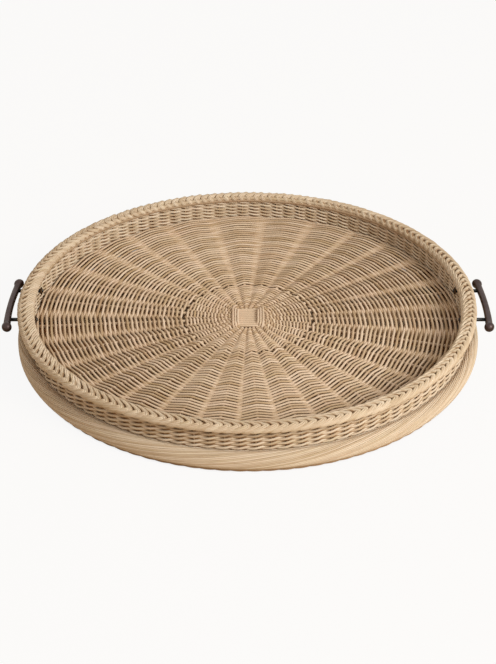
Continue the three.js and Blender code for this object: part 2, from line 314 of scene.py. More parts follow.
def ring(radius, height):
    """A circle round the tray's middle, with a point at every second degree."""
    return [polar(radius, math.radians(turn), height) for turn in range(0, 360, 2)]


def bend_wave(phase, stiffness=0.975):
    """A wave of nearly straight runs with rounded tops, as a stiff cane bends over a stick."""
    return math.asin(stiffness * math.cos(phase)) / math.asin(stiffness)


def swing(phase):
    """From side to side as two canes twist round each other: straight over a stick, then back."""
    return bend_wave(phase - math.pi / 2, 0.94)


# Floor

# Half the gap at the seam between the close and the wide rows, and the radius of the first close row.
SEAM_GAP = 0.0012
FIRST_ROW = 0.0262
# How far the lower cane of a pair lies outward, as a share of the pitch.
UNDER_SHIFT = 0.22
# The binding: its room past +X and +Y, its turns, their play and how much wider its counter turn is.
BINDING_ROOM = (-0.0006, 0.0016)
BINDING_TURNS = 3
BINDING_PLAY = 0.0002
COUNTER_WIDER = 0.0025
# Painted shade on the inward sides of the floor's canes, which grows from the middle outward.
RECESS_SHADE_RADII = (0.026, 0.080, 0.290)
RECESS_SHADE_DEPTHS = (0.55, 1.0, 1.5)


def fan_path(start, direction, angle, end_radius):
    """A stick from the edge of the cross to its end: a bend into the fan, then straight out."""
    outward = Vector(polar(1, angle, 0))
    fan = outward * FAN_RADIUS
    fan.z = FLOOR_MIDDLE
    tension = (start - fan).length * FAN_TENSION
    points = interpolate_bezier(
        start, start + direction * tension, fan - outward * tension, fan, FAN_STEPS + 1)
    end = outward * end_radius
    end.z = FLOOR_MIDDLE
    return points + [fan.lerp(end, step / FAN_STEPS) for step in range(1, FAN_STEPS + 1)]


def stick_ends():
    """The 28 half sticks, once round from the front one on the right: paths from the cross to the wall."""
    groups = ((STICKS_X, STICKS_Y, CROSS_LAYER), (STICKS_Y, STICKS_X, -CROSS_LAYER)) * 2
    ends = []
    for onward, (count, others, layer) in zip(((1, 0), (0, 1), (-1, 0), (0, -1)), groups):
        direction = Vector((*onward, 0))
        across = Vector((-direction.y, direction.x, 0))
        for index in range(count):
            aside = (index - (count - 1) / 2) * STICK_PITCH
            start = direction * (others * STICK_PITCH / 2) + across * aside
            start.z = FLOOR_MIDDLE + layer
            angle = math.radians(STICK_DIRECTIONS[len(ends)])
            ends.append(fan_path(start, direction, angle, FLOOR_OUTER))
    return ends


def stations(ends, radius):
    """Where a ring of a given radius meets each stick and again the first: angles and heights."""
    places = []
    for path in ends:
        reaches = [place.xy.length for place in path]
        places.append([np.interp(radius, reaches, line) for line in zip(*path)])
    xs, ys, heights = zip(*places, places[0])
    return np.unwrap(np.arctan2(ys, xs)), heights


def row_stray(row, turn):
    """How far a row strays at an angle: neighbouring rows drift together, then each by itself."""
    shared = noise.noise(polar(2.6, turn, row * 0.31))
    own = noise.noise(polar(8, turn, row * 1.7 + 40))
    return 1.7 * shared + 0.9 * own


def twined_row(ends, radius, pitch, lift, row, unevenness, steps=12):
    """The two canes of a floor row, and how far each has risen, which sets its painted shade. Each goes over
    one stick and under the next.
    """
    angles, heights = stations(ends, radius)
    sticks = range(len(heights))
    paths = ([], [])
    shade_facings = ([], [])
    for step in range(len(ends) * steps):
        place = step / steps
        turn = np.interp(place, sticks, angles)
        middle = np.interp(place, sticks, heights)
        phase = math.pi * place
        stray = unevenness * row_stray(row, turn)
        for sign, path, shade_facing in zip((1, -1), paths, shade_facings):
            rise = sign * bend_wave(phase)
            z = middle + lift * rise + 0.4 * unevenness * drift_round(row + sign * 50, turn, 7)
            r = radius + stray - sign * pitch / 4 * swing(phase) + pitch * UNDER_SHIFT * (1 - rise)
            path.append(polar(r, turn, z))
            shade_facing.append((0, 0, rise))
    return paths, shade_facings


class TRAY_OT_floor_sticks(bpy.types.Operator):
    """Lay the fourteen crossed sticks of the floor"""

    bl_idname = "tray.floor_sticks"
    bl_label = "Floor Sticks"

    def execute(self, context):
        sizes = context.scene.tray_weave
        material = cane_material("stick cane")
        ends = stick_ends()
        # A stick's name, the places of its two ends once round and its tone.
        front = SPOKES - STICKS_Y
        back = STICKS_X + STICKS_Y - 1
        sticks = [(f"floor_stick_x_{i + 1}", front - 1 - i, i, 0.75) for i in range(STICKS_X)]
        sticks += [(f"floor_stick_y_{i + 1}", front + i, back - i, 0.6) for i in range(STICKS_Y)]
        for name, first, second, tone in sticks:
            path = ends[first][::-1] + ends[second]
            piece = lay_canes(f"cane_{name}", [path], sizes.stick, [tone], sides=8)
            finish_piece(piece, material, "stick_rattan", name)
        return {"FINISHED"}


class TRAY_OT_floor_weave(bpy.types.Operator):
    """Weave the floor: close rows round the middle and wider rows out to the wall"""

    bl_idname = "tray.floor_weave"
    bl_label = "Floor Weave"

    def execute(self, context):
        sizes = context.scene.tray_weave
        material = cane_material("woven cane")
        ends = stick_ends()

        start = SEAM_RADIUS + SEAM_GAP
        wide = (FLOOR_OUTER - start) / sizes.wide_rows
        half = sizes.wide_rows // 2
        first = start + wide / 2
        close = (SEAM_RADIUS - SEAM_GAP - FIRST_ROW) / (sizes.centre_rows - 0.5)
        # Name, rows, radius of row 0, pitch, lift and cane thickness.
        groups = (
            ("floor_centre_canes", range(sizes.centre_rows), FIRST_ROW, close, 0.0032, sizes.centre_weaver),
            ("floor_middle_canes", range(half), first, wide, 0.0035, sizes.weaver),
            ("floor_outer_canes", range(half, sizes.wide_rows), first, wide, 0.0035, sizes.weaver))
        for number, (name, rows, radius, pitch, lift, cane) in enumerate(groups):
            paths, shade_facings, recess_shades = [], [], []
            for row in rows:
                middle = radius + pitch * row
                pair, sides = twined_row(ends, middle, pitch, lift, row + 40 * number, sizes.unevenness)
                paths += pair
                shade_facings += sides
                # Painted shade that grows with the row's radius.
                recess_shades += [np.interp(middle, RECESS_SHADE_RADII, RECESS_SHADE_DEPTHS)] * len(pair)
            tones = tone_list(number + 11, len(paths), 0.56, 0.34)
            piece = lay_canes(
                name, paths, cane, tones, closed=True, shade_facings=shade_facings, recess_shade=recess_shades, pressed="down")
            finish_piece(piece, material, "woven_rattan", *(["floor_wide_weave"] if number else []))
        return {"FINISHED"}


class TRAY_OT_centre_binding(bpy.types.Operator):
    """Bind the cross of sticks in the middle of the floor"""

    bl_idname = "tray.centre_binding"
    bl_label = "Centre Binding"

    def execute(self, context):
        sizes = context.scene.tray_weave
        material = cane_material("woven cane")
        cane = sizes.centre_weaver
        gap = (sizes.stick + cane) / 2
        over = FLOOR_MIDDLE + CROSS_LAYER
        under = FLOOR_MIDDLE - CROSS_LAYER
        x = STICKS_Y * STICK_PITCH / 2 + BINDING_ROOM[0]
        y = STICKS_X * STICK_PITCH / 2 + BINDING_ROOM[1]
        paths = []
        for turn in range(BINDING_TURNS):
            wider = turn * (cane + BINDING_PLAY)
            paths.append(binding_turn(x + wider, y + wider, over + gap, under - gap, turn))
        paths.append(binding_turn(x + COUNTER_WIDER, y, over - gap, under + gap, 7))
        tones = tone_list(5, len(paths), 0.8, 0.2)
        piece = lay_canes("floor_centre_binding", paths, cane, tones, closed=True)
        finish_piece(piece, material, "woven_rattan", "floor_centre_weave")
        return {"FINISHED"}


def binding_turn(x, y, side_height, end_height, seed, count=96, squareness=0.28):
    """One turn of cane round the cross: at one height past +X and -X, at another past +Y and -Y."""
    path = []
    for index in range(count):
        angle = 2 * math.pi * index / count
        px = x * math.copysign(abs(math.cos(angle)) ** squareness, math.cos(angle))
        py = y * math.copysign(abs(math.sin(angle)) ** squareness, math.sin(angle))
        weight = 0.5 + 0.5 * math.tanh(6 * (abs(px) / x - abs(py) / y))
        height = end_height + (side_height - end_height) * weight
        stray = 0.0002 * drift(seed, index, 0.2)
        path.append((px + stray, py + stray, height))
    return path


# Wall

WALL_THICKNESS = 0.0106
WALL_ROWS = 6
UPRIGHT_CANE = 0.0022
WALL_CORE_CANE = 0.0046
# Heights of the core canes between the two skins, from the wall's bottom.
WALL_CORES = (-0.0008, 0.0043, 0.0106, 0.0169, 0.0232)


def wall_skin(count, heights, hump, behind, slope, seed, steps=8):
    """Twined rows on a ring of uprights, one at each height, and for each cane how far it has come out,
    which sets its painted shade.
    """
    middle = (hump + behind) / 2
    depth = (hump - behind) / 2
    paths, shade_facings = [], []
    for number, height in enumerate(heights):
        pair = ([], [])
        sides = ([], [])
        for index in range(count * steps):
            phase = math.pi * index / steps
            angle = 2 * math.pi * index / (count * steps)
            stray = 0.00025 * drift_round(seed + number, angle, 14)
            for sign, path, shade_facing in zip((1, -1), pair, sides):
                out = sign * bend_wave(phase, 0.7)
                z = height + stray + sign * slope * swing(phase)
                path.append(polar(middle + depth * out, angle, z))
                shade_facing.append(polar(math.copysign(out, depth * out), angle, 0))
        paths += pair
        shade_facings += sides
    return paths, shade_facings


class TRAY_OT_wall(bpy.types.Operator):
    """Weave the wall: an outer and an inner skin, each with its own uprights"""

    bl_idname = "tray.wall"
    bl_label = "Wall"

    def execute(self, context):
        sizes = context.scene.tray_weave
        material = cane_material("wall cane", plaited=True)
        shade = cane_material("stick cane")
        outer = WALL_OUTER
        inner = outer - WALL_THICKNESS
        cane = sizes.wall_weaver
        bottom = WALL_BOX[0][2]
        top = RIM_BOX[0][2]

        # An outer and an inner skin: uprights, first row's height, pitch, radius of the row's front
        # and of its back, slope, cane thickness.
        skins = (
            ("outer", sizes.outer_uprights, 0.0012, 0.0063, outer - cane / 2, outer - 0.0058, 0.00155, cane),
            ("inner", sizes.inner_uprights, 0.0026, 0.00527, inner + 0.0016, inner + 0.0047, 0.0011, 0.0032))
        uprights = []
        for side, count, first, pitch, front, back, slope, thickness in skins:
            count = 2 * (count // 2)
            heights = [bottom + first + pitch * row for row in range(WALL_ROWS)]
            heights[-1] = min(heights[-1], top - 0.0012)
            seed = 60 + WALL_ROWS * len(uprights)
            paths, shade_facings = wall_skin(count, heights, front, back, slope, seed)
            tones = tone_list(21 + len(uprights), len(paths))
            piece = lay_canes(
                f"wall_{side}_canes", paths, thickness, tones, closed=True, shade_facings=shade_facings, pressed="in")
            finish_piece(piece, material, "woven_rattan", *(["wall_weave"] if side == "outer" else []))
            middle = (front + back) / 2
            levels = (bottom - 0.002, (bottom + top) / 2, top)
            for index in range(count):
                angle = 2 * math.pi * index / count
                uprights.append([polar(middle, angle, level) for level in levels])
        # Painted shade: the uprights are toned 0.9 below the woven canes' tones.
        piece = lay_canes("wall_uprights", uprights, UPRIGHT_CANE, tone_list(23, len(uprights)) - 0.9)
        finish_piece(piece, shade, "stick_rattan")

        cores = [ring((outer + inner) / 2, bottom + height) for height in WALL_CORES]
        cores.append(ring((outer + inner) / 2, top - 0.0022))
        # Painted shade: the core canes between the skins are toned below nothing.
        piece = lay_canes("wall_core_canes", cores, WALL_CORE_CANE, [-0.55] * len(cores), closed=True)
        finish_piece(piece, shade, "stick_rattan")
        return {"FINISHED"}


# Rim

# A bundle bows over the rim from the inner side to the outer. Each point is a depth in from the rim's
# outer side, a height above its underside and a way along.
BOW = [Vector(point) for point in (
    (0.0170, 0.0008, -0.0290), (0.0196, 0.0020, -0.0252), (0.0206, 0.0040, -0.0212),
    (0.0202, 0.0057, -0.0172), (0.0189, 0.0068, -0.0134), (0.0168, 0.0074, -0.0100),
    (0.0144, 0.0077, -0.0071), (0.0118, 0.0078, -0.0044), (0.0092, 0.0078, -0.0020),
    (0.0070, 0.0076, -0.0004), (0.0052, 0.0071, 0.0001), (0.0036, 0.0062, -0.0018),
    (0.0024, 0.0049, -0.0058), (0.0017, 0.0034, -0.0106), (0.0017, 0.0018, -0.0156),
    (0.0030, 0.0006, -0.0206))]
BOW_STEPS = 24
# How unevenly the bundles lie inward, upward and along.
BUNDLE_STRAY = (0.0006, 0.0006, 0.0016)
# The middle of the rim's section, as depth and height, and the depths of its inner half and crest.
RIM_MIDDLE = (0.0108, 0.0020)
INNER_HALF = 0.0100
CREST_DEPTH = 0.0070
# The rods of a bundle lie side by side at these steps, and its width changes along the bow.
RODS = (-1.5, -0.5, 0.5, 1.5)
ROD_PITCH = 0.0026
# How far a rod sinks beside its bundle's middle line, and how much more on one side, as shares.
ROD_SINK = 0.42
ROD_TILT = 0.10
BUNDLE_SHARES = (0.0, 0.2, 0.33, 0.41, 0.57, 0.66, 0.82, 1.0)
BUNDLE_WIDTHS = (0.5, 0.85, 0.80, 0.46, 0.58, 0.84, 0.74, 0.5)
# How strong the painted shade in the groove between two bundles is along the bow.
GROOVE_SHARES = (0.30, 0.38, 0.60, 0.68, 0.95)
GROOVE_SHADES = (0.0, 1.0, 1.0, 0.4, 0.4)
# How far the plait's grooves slide outward over the rim, by the turn from +X in degrees.
SLIDE_TURNS = (0, 50, 90, 130, 170, 200, 240, 270, 360)
GROOVE_SLIDES = (0.0, -0.26, -0.42, -0.32, 0.0, 0.04, 0.02, 0.0, 0.0)
# How far the hand-bent rim stands out, and how much its inner half is wider, by the turn in degrees.
LEAN_TURNS = (0, 60, 140, 165, 180, 205, 232, 270, 335, 355, 360)
LEAN_STEPS = (0.0, 0.0, 0.0, 0.0012, 0.0022, 0.0030, 0.0010, 0.0, 0.0, 0.0, 0.0)
LEAN_WIDTHS = (0.1, -0.1, 0.0, 0.0, 0.25, 0.22, -0.05, -0.25, -0.28, 0.05, 0.1)
RIM_CORE_CANE = 0.0050
# The rim's core canes, as depth, height and tone; a tone below nothing is painted shade.
RIM_CORES = (
    (0.0060, 0.0034, -0.5), (0.0100, 0.0040, -0.6), (0.0145, 0.0040, -0.5), (0.0180, 0.0042, 0.1),
    (0.0188, 0.0006, -0.3))


def along_bow(share):
    """A place on the smooth line through the bow's points, at a share of its way."""
    place = min(max(share, 0), 1) * (len(BOW) - 1)
    index = min(int(place), len(BOW) - 2)
    t = place - index
    a, b, c, d = (BOW[min(max(index + step, 0), len(BOW) - 1)] for step in (-1, 0, 1, 2))
    square = 2 * a - 5 * b + 4 * c - d
    cube = 3 * b - a - 3 * c + d
    return b + ((c - a) * t + square * t ** 2 + cube * t ** 3) / 2


def bundle_point(share, slide):
    """A point of a bundle's middle line. The slide shifts its bow, not its depth or height."""
    depth, height, _ = along_bow(share)
    return Vector((depth, height, along_bow(share - slide)[2]))


def bundle_place(share, aside, slide):
    """Where a rod runs, a little sunk beside its bundle's middle line, and the way to that line, scaled by
    the groove's painted shade there.
    """
    middle = bundle_point(share, slide)
    onward = bundle_point(share + 0.02, slide) - bundle_point(share - 0.02, slide)
    outward = Vector((middle.x - RIM_MIDDLE[0], middle.y - RIM_MIDDLE[1], 0)).normalized()
    across = onward.cross(outward).normalized()
    width = aside * float(np.interp(share - slide, BUNDLE_SHARES, BUNDLE_WIDTHS))
    place = middle + across * width - outward * (ROD_SINK * abs(width) + ROD_TILT * width)
    # How strong the groove's painted shade is at this share of the bow; the shape is not changed by it.
    depth = float(np.interp(share - slide, GROOVE_SHARES, GROOVE_SHADES))
    return place, across * (-math.copysign(depth, aside))


class TRAY_OT_rim_plait(bpy.types.Operator):
    """Plait the rim: bundles of canes that bow over it one after another"""

    bl_idname = "tray.rim_plait"
    bl_label = "Rim Plait"

    def execute(self, context):
        sizes = context.scene.tray_weave
        material = cane_material("plait cane", plaited=True)
        outer = RIM_OUTER
        low = RIM_BOX[0][2]
        paths, shade_facings = [], []
        chooser = np.random.default_rng(31)
        crest = outer - CREST_DEPTH
        unit = 2 * math.pi / sizes.plait_units
        for index in range(sizes.plait_units):
            wobble = (chooser.random(3) - 0.5) * BUNDLE_STRAY
            turn = 360 * index / sizes.plait_units
            slide = np.interp(turn, SLIDE_TURNS, GROOVE_SLIDES)
            lean = np.interp(turn, LEAN_TURNS, LEAN_STEPS)
            wider = np.interp(turn, LEAN_TURNS, LEAN_WIDTHS)
            for rod in RODS:
                path, shade_facing = [], []
                for step in range(BOW_STEPS + 1):
                    place, way = bundle_place(step / BOW_STEPS, rod * ROD_PITCH, slide)
                    angle = index * unit + (place.z + wobble[2]) / crest
                    depth = place.x + max(place.x - INNER_HALF, 0) * wider - lean + wobble[0]
                    path.append(polar(outer - depth, angle, low + place.y + wobble[1]))
                    # Only a bundle's outer rods get painted shade on their groove side.
                    way = way if abs(rod) > 1 else way * 0
                    shade_facing.append(Matrix.Rotation(angle, 3, "Z") @ Vector((-way.x, way.z, way.y)))
                paths.append(path)
                shade_facings.append(shade_facing)
        tones = np.repeat(tone_list(32, sizes.plait_units, 0.55, 0.22), len(RODS))
        tones = np.clip(tones + (chooser.random(len(paths)) - 0.5) * 0.25, 0, 1)
        piece = lay_canes("rim_plait_canes", paths, sizes.plait_cane, tones, shade_facings=shade_facings, recess_shade=1.0)
        finish_piece(piece, material, "plaited_rattan", "rim_plait")

        cores = [ring(outer - depth, low + height) for depth, height, _ in RIM_CORES]
        tones = [tone for _, _, tone in RIM_CORES]
        piece = lay_canes("rim_core_canes", cores, RIM_CORE_CANE, tones, closed=True)
        finish_piece(piece, material, "plaited_rattan")
        return {"FINISHED"}


# Foot

ROLL_WIDTH = 0.0235
ROLL_INNER_CORNER = 0.004
ROLL_OUTER_CORNER = 0.010
ROLL_SAG = 0.0021
# How far a cane strays across the roll, as a share of its room, and how much smaller the core is.
ROLL_STRAY = 0.16
CORE_SHRINK = 0.1
# Turns that each cane makes round the roll on its way round the tray, and its steps on that way.
ROLL_TURNS = 3.5
ROLL_STEPS = 330
SECTION_STEPS = 720
EDGE_CANE = 0.0029
EDGE_SLOPE = 0.0002
# Depths in from the edge row's outer side: its front skin's front and back, then its back skin's.
EDGE_DEPTHS = (0.0018, 0.0056, 0.0060, 0.0090)


def spun_shape(points, axis, steps, closed=False):
    """A closed shape, turned once round an axis through the middle."""
    shape = bmesh.new()
    verts = [shape.verts.new(point) for point in points]
    edges = [shape.edges.new(pair) for pair in zip(verts, verts[1:])]
    if closed:
        edges.append(shape.edges.new((verts[-1], verts[0])))
    bmesh.ops.spin(
        shape, geom=verts + edges, cent=(0, 0, 0), axis=axis, angle=2 * math.pi, steps=steps, use_merge=True)
    bmesh.ops.remove_doubles(shape, verts=shape.verts, dist=1e-6)
    bmesh.ops.recalc_face_normals(shape, faces=shape.faces)
    return shape


def rounded_section(inner, outer, bottom, top, inner_corner, outer_corner):
    """A closed outline of a roll's section as radius and height, with equal steps."""
    corners = (
        (outer - outer_corner, bottom + outer_corner, outer_corner, -90),
        (outer - outer_corner, top - outer_corner, outer_corner, 0),
        (inner + inner_corner, top - inner_corner, inner_corner, 90),
        (inner + inner_corner, bottom + inner_corner, inner_corner, 180),
    )
    points = []
    for radius, height, corner, start in corners:
        for step in range(9):
            angle = math.radians(start + 90 * step / 8)
            points.append((radius + corner * math.cos(angle), height + corner * math.sin(angle)))
    points.append(points[0])
    places = np.array(points)
    lengths = lengths_along(places)
    shares = np.linspace(0, lengths[-1], SECTION_STEPS + 1)
    line = np.stack([np.interp(shares, lengths, places[:, axis]) for axis in (0, 1)], axis=1)
    # The roll's top sags towards the wall that stands on it.
    crown = outer - outer_corner + 0.001
    sag = ROLL_SAG * np.clip((crown - line[:, 0]) / 0.005, 0, 1) ** 1.5
    line[:, 1] -= np.where(line[:, 1] > (bottom + top) / 2, sag, 0)
    return line


class TRAY_OT_foot_roll(bpy.types.Operator):
    """Wind long thin canes round the fat roll at the foot"""

    bl_idname = "tray.foot_roll"
    bl_label = "Foot Roll"

    def execute(self, context):
        sizes = context.scene.tray_weave
        material = cane_material("roll cane", plaited=True)
        inset = sizes.roll_cane / 2
        section = rounded_section(
            ROLL_OUTER - ROLL_WIDTH + inset, ROLL_OUTER - inset,
            ROLL_BOX[0][2] + inset, ROLL_BOX[1][2] - inset,
            ROLL_INNER_CORNER - inset / 2, ROLL_OUTER_CORNER - inset)
        paths = []
        for cane in range(sizes.roll_canes):
            path = []
            for step in range(ROLL_STEPS + 1):
                angle = 2 * math.pi * step / ROLL_STEPS
                share = cane / sizes.roll_canes + ROLL_TURNS * step / ROLL_STEPS
                share += ROLL_STRAY / sizes.roll_canes * drift_round(cane + 200, angle, 5)
                radius, height = section[int(round((share % 1.0) * SECTION_STEPS))]
                path.append(polar(radius, angle, height))
            paths.append(path)
        piece = lay_canes("foot_roll_canes", paths, sizes.roll_cane, tone_list(41, len(paths), 0.47))
        finish_piece(piece, material, "woven_rattan", "foot_roll")

        # The core has the same section, a little smaller.
        middle = section.mean(axis=0)
        cut = [point + (middle - point) * CORE_SHRINK for point in section[:-1:20]]
        shape = spun_shape([(radius, 0, height) for radius, height in cut], (0, 0, 1), 120, closed=True)
        core = to_piece("foot_roll_core", shape)
        finish_piece(core, cane_material("stick cane"), "stick_rattan")
        return {"FINISHED"}


class TRAY_OT_edge_row(bpy.types.Operator):
    """Weave the edge row that the tray stands on"""

    bl_idname = "tray.edge_row"
    bl_label = "Edge Row"

    def execute(self, context):
        sizes = context.scene.tray_weave
        material = cane_material("woven cane")
        height = (EDGE_BOX[0][2] + EDGE_BOX[1][2]) / 2
        first, second, third, last = (EDGE_BOX[1][0] - depth for depth in EDGE_DEPTHS)
        count = 2 * (sizes.outer_uprights // 2)
        paths, _ = wall_skin(count, [height], first - EDGE_CANE / 2, second, EDGE_SLOPE, 120)
        more, _ = wall_skin(count, [height], third, last + EDGE_CANE / 2, EDGE_SLOPE, 122)
        # Painted shade: all edge canes are toned below nothing, the back skin darkest.
        piece = lay_canes("foot_edge_canes", paths + more, EDGE_CANE, [-0.25, -0.3, -0.8, -0.8], closed=True)
        finish_piece(piece, material, "woven_rattan", "foot_edge_row")
        return {"FINISHED"}


# Pulls

BAR_END_X = WALL_OUTER + 0.0196
PULL_HEIGHT = (BAR_BOX[0][2] + BAR_BOX[1][2]) / 2
# The bar is thinnest and bows out most at its middle.
BAR_BOW = 0.003
BAR_THIN = 0.009
BAR_THICK = 0.0102
KNOB_OFFSET = 0.0572
KNOB_RADIUS = 0.0068
# The bars stand out a little more at their front ends.
PULL_SLANT = 0.035
POST_OFFSET = 0.0381
POST_RADIUS = 0.0025
NUT_RADIUS = 0.0052
NUT_SHORTER = 0.0014
CHAMFER = 0.0005


def bar_middle(y):
    """Where the bar's middle line lies at a place along it."""
    return BAR_END_X + BAR_BOW * (1 - (y / KNOB_OFFSET) ** 2) - PULL_SLANT * y


def bar_radius(y):
    share = min(abs(y) / KNOB_OFFSET, 1)
    return (BAR_THIN + (BAR_THICK - BAR_THIN) * share ** 2) / 2


def bar_outline():
    """The bar's outline from tip to tip, as radius and place along it, with a ball at each end."""
    neck = math.pi - math.asin(BAR_THICK / 2 / KNOB_RADIUS)
    tip = [
        (KNOB_RADIUS * math.sin(turn), KNOB_OFFSET + KNOB_RADIUS * math.cos(turn))
        for turn in np.linspace(0, neck, 11)]
    last = tip[-1][1]
    waist = [(bar_radius(y), y) for y in np.linspace(last, -last, 25)[1:-1]]
    return tip + waist + [(radius, -y) for radius, y in reversed(tip)]


def turned_shape(outline, steps=32):
    """A closed turned shape about the Y axis, from an outline of radius and place along it."""
    shape = spun_shape([(radius, y, 0) for radius, y in outline], (0, 1, 0), steps)
    for face in shape.faces:
        face.smooth = True
    return shape


def set_metal(name, shape, place, material, slot, node):
    """Moves each corner of a shape to its place and finishes the piece."""
    for vert in shape.verts:
        vert.co = place(*vert.co)
    bmesh.ops.recalc_face_normals(shape, faces=shape.faces)
    finish_piece(to_piece(name, shape), material, slot, node)


class TRAY_OT_pulls(bpy.types.Operator):
    """Turn the two bar pulls with their posts and nuts"""

    bl_idname = "tray.pulls"
    bl_label = "Pulls"

    def execute(self, context):
        colours = context.scene.tray_colours
        iron = metal_material("dark iron", colours.iron, 0.42)
        black = metal_material("black steel", colours.black_steel, 0.35)
        bronzed = metal_material("bronzed steel", colours.bronzed_steel, 0.5)
        start = POST_BOX[0][0]
        low, high = NUT_BOX[0][0] + NUT_SHORTER, NUT_BOX[1][0]
        for side, name in ((1, "right"), (-1, "left")):
            set_metal(
                f"iron_bar_{name}", turned_shape(bar_outline()),
                lambda x, y, z: (side * (x + bar_middle(y)), y, PULL_HEIGHT + z),
                iron, "dark_iron", f"pull_bar_{name}")
            for place, y in (("front", -POST_OFFSET), ("back", POST_OFFSET)):
                end = bar_middle(y)
                outline = [
                    (0, start), (POST_RADIUS - CHAMFER, start), (POST_RADIUS, start + CHAMFER),
                    (POST_RADIUS, end), (0, end)]
                set_metal(
                    f"steel_post_{name}_{place}", turned_shape(outline, steps=24),
                    lambda across, along, z: (side * along, y - across, PULL_HEIGHT + z),
                    black, "black_steel", f"pull_post_{name}_{place}")
                shape = bmesh.new()
                bmesh.ops.create_cone(
                    shape, cap_ends=True, segments=6, radius1=NUT_RADIUS, radius2=NUT_RADIUS,
                    depth=high - low)
                bmesh.ops.bevel(
                    shape, geom=shape.edges[:], offset=CHAMFER, offset_type="OFFSET", segments=2,
                    profile=0.5, affect="EDGES", material=-1)
                set_metal(
                    f"steel_nut_{name}_{place}", shape,
                    lambda x, across, along: (
                        side * (along + (low + high) / 2), y + across, PULL_HEIGHT + x),
                    bronzed, "bronzed_steel", f"pull_nut_{name}_{place}")
        return {"FINISHED"}


# Materials

def new_group(name, inputs):
    """A node group that gives a colour, a roughness and a height."""
    group = bpy.data.node_groups.new(name, "ShaderNodeTree")
    for label, kind, default in inputs:
        socket = group.interface.new_socket(name=label, in_out="INPUT", socket_type=kind)
        socket.default_value = default
    for label, kind in (("Color", "NodeSocketColor"), ("Roughness", "NodeSocketFloat"),
                        ("Height", "NodeSocketFloat")):
        group.interface.new_socket(name=label, in_out="OUTPUT", socket_type=kind)
    return group, group.nodes.new("NodeGroupInput"), group.nodes.new("NodeGroupOutput")


def clouded(tree, vector, scale, detail=2.0, rough=0.5):
    """Noise on a vector that is scaled part by part."""
    stretch = tree.nodes.new("ShaderNodeVectorMath")
    stretch.operation = "MULTIPLY"
    tree.links.new(vector, stretch.inputs[0])
    stretch.inputs[1].default_value = scale
    node = tree.nodes.new("ShaderNodeTexNoise")
    node.inputs["Scale"].default_value = 1.0
    node.inputs["Detail"].default_value = detail
    node.inputs["Roughness"].default_value = rough
    tree.links.new(stretch.outputs[0], node.inputs["Vector"])
    return node.outputs["Fac"]


def ranged(tree, value, low, high, to_low, to_high):
    """A value taken from one range to another."""
    node = tree.nodes.new("ShaderNodeMapRange")
    limits = {"From Min": low, "From Max": high, "To Min": to_low, "To Max": to_high}
    for name, limit in limits.items():
        node.inputs[name].default_value = limit
    tree.links.new(value, node.inputs["Value"])
    return node.outputs["Result"]


def arithmetic(tree, operation, first, second):
    """A sum or the like of two sockets."""
    node = tree.nodes.new("ShaderNodeMath")
    node.operation = operation
    tree.links.new(first, node.inputs[0])
    tree.links.new(second, node.inputs[1])
    return node.outputs[0]


def mixed(tree, factor, first, second, blend="MIX"):
    """A colour mix. Each colour is a socket or plain red, green and blue."""
    node = tree.nodes.new("ShaderNodeMix")
    node.data_type = "RGBA"
    node.blend_type = blend
    for name, value in (("Factor_Float", factor), ("A_Color", first), ("B_Color", second)):
        socket = next(item for item in node.inputs if item.identifier == name)
        if isinstance(value, bpy.types.NodeSocket):
            tree.links.new(value, socket)
        else:
            socket.default_value = (*value, 1)
    return next(item for item in node.outputs if item.identifier == "Result_Color")


def cane_group():
    """Colour, roughness and height of split cane, which run along each cane."""
    name = "Cane grain"
    if name in bpy.data.node_groups:
        return bpy.data.node_groups[name]
    group, start, end = new_group(name, [
        ("Pale", "NodeSocketColor", (0.8, 0.6, 0.4, 1)), ("Dark", "NodeSocketColor", (0.5, 0.3, 0.2, 1)),
        ("Patches", "NodeSocketFloat", 1.0)])
    tone = group.nodes.new("ShaderNodeAttribute")
    tone.attribute_name = "tone"
    grain = group.nodes.new("ShaderNodeAttribute")
    grain.attribute_name = "grain"
    way = grain.outputs["Vector"]
    fibres = clouded(group, way, (70, 1700, 1700), 3.0, 0.6)
    patches = clouded(group, way, (22, 120, 120))
    tints = clouded(group, way, (9, 30, 30), 1.0)

    patched = arithmetic(
        group, "MULTIPLY", ranged(group, patches, 0.25, 0.75, -0.38, 0.38), start.outputs["Patches"])
    toned = arithmetic(group, "ADD", tone.outputs["Fac"], patched)
    body = mixed(group, toned, start.outputs["Dark"], start.outputs["Pale"])
    # Tones below nothing get painted shade, deep brown; then yellow and pink tints, stains and dark fibres.
    layers = (
        (ranged(group, tone.outputs["Fac"], 0.0, -1.0, 0.0, 1.0), (0.36, 0.17, 0.05)),
        (ranged(group, tints, 0.52, 0.68, 0.0, 0.35), (0.98, 1.0, 0.86)),
        (ranged(group, tints, 0.48, 0.32, 0.0, 0.35), (1.0, 0.9, 0.88)),
        (ranged(group, patches, 0.66, 0.8, 0.0, 0.5), (0.72, 0.58, 0.46)),
        (ranged(group, fibres, 0.35, 0.7, 0.55, 0.0), (0.74, 0.66, 0.58)))
    for share, colour in layers:
        body = mixed(group, share, body, colour, "MULTIPLY")
    group.links.new(body, end.inputs["Color"])
    group.links.new(ranged(group, fibres, 0.3, 0.7, 0.78, 0.56), end.inputs["Roughness"])
    group.links.new(fibres, end.inputs["Height"])
    return group


